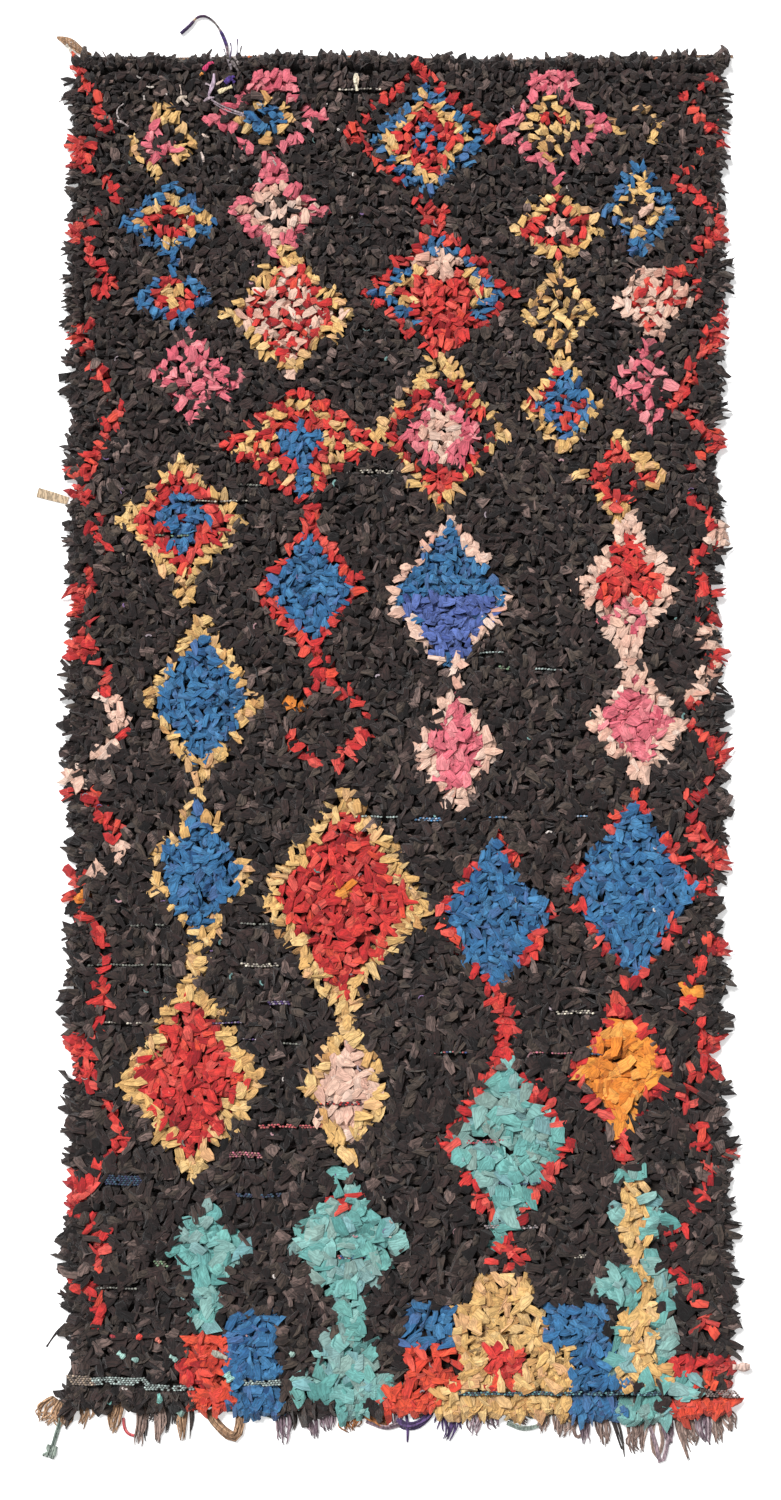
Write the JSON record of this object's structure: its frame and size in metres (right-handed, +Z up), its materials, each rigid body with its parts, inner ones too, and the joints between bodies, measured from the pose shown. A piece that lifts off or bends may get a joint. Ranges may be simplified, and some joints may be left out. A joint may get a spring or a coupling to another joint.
{
  "type": "boucherouite rug",
  "caption": "Long shaggy rag-pile floor rug lying flat, charcoal ground with bright nested lozenges, tasselled warp fringe at one end and a loose wrapped tie.",
  "frame": {"origin": "centre of the knotted field's flat underside, on the floor", "axes": "+Z up out of the pile, +Y along the rug towards the finished heading, +X across it to the right as seen from above"},
  "size_m": [1.5121, 3.0412, 0.0354],
  "materials": {
    "rag_charcoal": "matt rag cloth",
    "rag_red": "matt rag cloth",
    "rag_blue": "matt rag cloth",
    "rag_straw": "matt rag cloth",
    "rag_rose": "matt rag cloth",
    "rag_shell": "matt rag cloth",
    "rag_turquoise": "matt rag cloth",
    "rag_marigold": "matt rag cloth",
    "ground_weave": "plain woven wool",
    "heading_yarn": "twined wool yarn",
    "fringe_yarn": "loose wool yarn",
    "tie_wrap": "rag wrapped cord",
    "tape": "ribbed woven tape"
  },
  "bodies": {
    "root": {"rag_pile": "rag_charcoal", "top_heading": "heading_yarn", "fringe": "fringe_yarn", "tie_cord": "tie_wrap", "edge_tape": "tape"}
  },
  "joints": []
}
